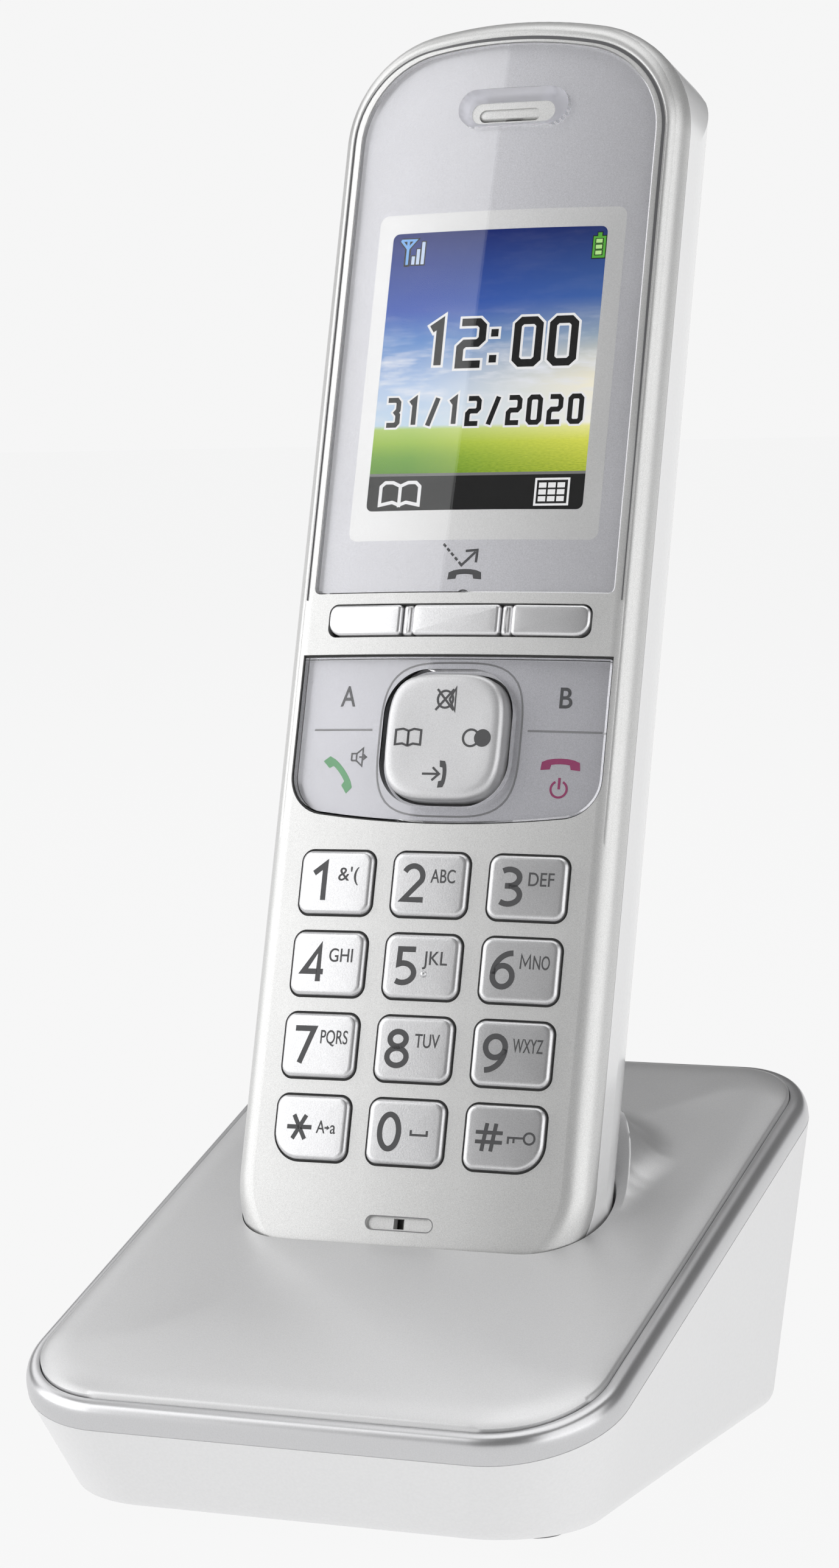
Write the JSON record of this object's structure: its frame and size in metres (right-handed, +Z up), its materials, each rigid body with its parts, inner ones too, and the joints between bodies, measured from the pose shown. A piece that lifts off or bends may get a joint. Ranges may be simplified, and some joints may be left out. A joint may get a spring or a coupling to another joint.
{
  "type": "cordless phone with base",
  "caption": "Slim silver cordless handset with a colour display, dial keys and a navigator key, leaning back in a small sloping charging base.",
  "frame": {"origin": "on the surface that the base stands on, under the middle of the whole object's box", "axes": "+Z up, +Y towards the back of the base, +X to the right as seen from the front"},
  "size_m": [0.0722, 0.0879, 0.1693],
  "materials": {
    "cover_silver": "satin silver paint",
    "ring_silver": "bright silver lacquer",
    "body_white": "satin pale grey",
    "front_silver": "satin silver paint with a fine sparkle",
    "shell_white": "glossy white",
    "dial_key_silver": "satin silver paint, dark grey legends",
    "navigator_silver": "satin silver paint",
    "soft_key_silver": "silver lacquer",
    "clear_window": "clear acrylic",
    "clear_plate": "clear acrylic over silver print",
    "screen": "colour display",
    "backlight_white": "white diffuser",
    "inner_grey": "plain moulding",
    "earpiece_silver": "satin silver",
    "rubber_grey": "soft rubber",
    "key_film": "thin film",
    "board_green": "solder-masked board",
    "tin_plate": "tinned steel",
    "contact_metal": "gold-plated",
    "cell_can": "printed cell sleeve",
    "jack_black": "moulded black",
    "button_grey": "satin grey"
  },
  "bodies": {
    "base": {"base_housing": "body_white", "base_top_cover": "cover_silver", "base_trim_ring": "ring_silver", "base_contact_left": "contact_metal", "base_contact_right": "contact_metal", "base_circuit_board": "board_green", "base_radio_shield": "tin_plate", "base_antenna": "tin_plate", "line_jack": "jack_black", "dc_jack": "jack_black", "locator_board": "board_green", "locator_switch": "jack_black", "base_feet": "rubber_grey", "base_screws": "tin_plate"},
    "handset": {"handset_front_cover": "front_silver", "handset_rear_cover": "shell_white", "battery_left": "cell_can", "battery_right": "cell_can", "battery_contacts": "contact_metal", "display_window": "clear_window", "lcd_panel": "screen", "lcd_backlight": "backlight_white", "lcd_frame": "inner_grey", "earpiece_bar": "earpiece_silver", "earpiece_receiver": "inner_grey", "earpiece_gasket": "rubber_grey", "soft_key_webs": "soft_key_silver", "keypad_rubber": "rubber_grey", "dome_sheet": "key_film", "handset_circuit_board": "board_green", "handset_radio_shield": "tin_plate", "handset_antenna": "tin_plate", "handsfree_speaker": "inner_grey", "microphone": "tin_plate", "handset_charge_contacts": "contact_metal"},
    "locator_button": {"locator_button": "button_grey"},
    "battery_door": {"battery_door": "shell_white"},
    "call_plate_rocker": {"call_plate_rocker": "inner_grey"},
    "call_key_plate": {"call_key_plate": "clear_plate"},
    "navigator_gimbal": {"navigator_gimbal": "inner_grey"},
    "navigator_key": {"navigator_key": "navigator_silver"},
    "key_1": {"key_1": "dial_key_silver"},
    "key_2": {"key_2": "dial_key_silver"},
    "key_3": {"key_3": "dial_key_silver"},
    "key_4": {"key_4": "dial_key_silver"},
    "key_5": {"key_5": "dial_key_silver"},
    "key_6": {"key_6": "dial_key_silver"},
    "key_7": {"key_7": "dial_key_silver"},
    "key_8": {"key_8": "dial_key_silver"},
    "key_9": {"key_9": "dial_key_silver"},
    "key_star": {"key_star": "dial_key_silver"},
    "key_0": {"key_0": "dial_key_silver"},
    "key_hash": {"key_hash": "dial_key_silver"},
    "soft_key_left": {"soft_key_left": "soft_key_silver"},
    "soft_key_middle": {"soft_key_middle": "soft_key_silver"},
    "soft_key_right": {"soft_key_right": "soft_key_silver"}
  },
  "joints": [
    {"name": "handset_lift", "type": "slide", "parent": "base", "child": "handset", "axis": [0, 0.2857, 0.9583], "range_m": [0, 0.045]},
    {"name": "key_1_press", "type": "slide", "parent": "handset", "child": "key_1", "axis": [0, 0.9583, -0.2857], "range_m": [0, 0.0008], "stiffness_N_per_m": 1900},
    {"name": "key_2_press", "type": "slide", "parent": "handset", "child": "key_2", "axis": [0, 0.9583, -0.2857], "range_m": [0, 0.0008], "stiffness_N_per_m": 1900},
    {"name": "key_3_press", "type": "slide", "parent": "handset", "child": "key_3", "axis": [0, 0.9583, -0.2857], "range_m": [0, 0.0008], "stiffness_N_per_m": 1900},
    {"name": "key_4_press", "type": "slide", "parent": "handset", "child": "key_4", "axis": [0, 0.9583, -0.2857], "range_m": [0, 0.0008], "stiffness_N_per_m": 1900},
    {"name": "key_5_press", "type": "slide", "parent": "handset", "child": "key_5", "axis": [0, 0.9583, -0.2857], "range_m": [0, 0.0008], "stiffness_N_per_m": 1900},
    {"name": "key_6_press", "type": "slide", "parent": "handset", "child": "key_6", "axis": [0, 0.9583, -0.2857], "range_m": [0, 0.0008], "stiffness_N_per_m": 1900},
    {"name": "key_7_press", "type": "slide", "parent": "handset", "child": "key_7", "axis": [0, 0.9583, -0.2857], "range_m": [0, 0.0008], "stiffness_N_per_m": 1900},
    {"name": "key_8_press", "type": "slide", "parent": "handset", "child": "key_8", "axis": [0, 0.9583, -0.2857], "range_m": [0, 0.0008], "stiffness_N_per_m": 1900},
    {"name": "key_9_press", "type": "slide", "parent": "handset", "child": "key_9", "axis": [0, 0.9583, -0.2857], "range_m": [0, 0.0008], "stiffness_N_per_m": 1900},
    {"name": "key_star_press", "type": "slide", "parent": "handset", "child": "key_star", "axis": [0, 0.9583, -0.2857], "range_m": [0, 0.0008], "stiffness_N_per_m": 1900},
    {"name": "key_0_press", "type": "slide", "parent": "handset", "child": "key_0", "axis": [0, 0.9583, -0.2857], "range_m": [0, 0.0008], "stiffness_N_per_m": 1900},
    {"name": "key_hash_press", "type": "slide", "parent": "handset", "child": "key_hash", "axis": [0, 0.9583, -0.2857], "range_m": [0, 0.0008], "stiffness_N_per_m": 1900},
    {"name": "soft_key_left_press", "type": "slide", "parent": "handset", "child": "soft_key_left", "axis": [0, 0.9583, -0.2857], "range_m": [0, 0.0006], "stiffness_N_per_m": 1900},
    {"name": "soft_key_middle_press", "type": "slide", "parent": "handset", "child": "soft_key_middle", "axis": [0, 0.9583, -0.2857], "range_m": [0, 0.0006], "stiffness_N_per_m": 1900},
    {"name": "soft_key_right_press", "type": "slide", "parent": "handset", "child": "soft_key_right", "axis": [0, 0.9583, -0.2857], "range_m": [0, 0.0006], "stiffness_N_per_m": 1900},
    {"name": "call_plate_rock_lengthways", "type": "hinge", "parent": "handset", "child": "call_plate_rocker", "pos_m": [0, 0.0083, 0.083], "axis": [1, 0, 0], "range_deg": [-1.5, 1.5], "stiffness_Nm_per_rad": 1.2},
    {"name": "call_plate_rock_sideways", "type": "hinge", "parent": "call_plate_rocker", "child": "call_key_plate", "pos_m": [0, 0.00782, 0.08314], "axis": [0, 0.2857, 0.9583], "range_deg": [-1, 1], "stiffness_Nm_per_rad": 1.2},
    {"name": "navigator_tilt_lengthways", "type": "hinge", "parent": "handset", "child": "navigator_gimbal", "pos_m": [0, 0.00773, 0.08317], "axis": [1, 0, 0], "range_deg": [-3, 3], "stiffness_Nm_per_rad": 0.25},
    {"name": "navigator_tilt_sideways", "type": "hinge", "parent": "navigator_gimbal", "child": "navigator_key", "pos_m": [0, 0.00773, 0.08317], "axis": [0, 0.2857, 0.9583], "range_deg": [-3, 3], "stiffness_Nm_per_rad": 0.25},
    {"name": "battery_door_slide", "type": "slide", "parent": "handset", "child": "battery_door", "axis": [0, -0.2857, -0.9583], "range_m": [0, 0.005]},
    {"name": "locator_button_press", "type": "slide", "parent": "base", "child": "locator_button", "axis": [0, -1, 0], "range_m": [0, 0.0008], "stiffness_N_per_m": 1900}
  ]
}
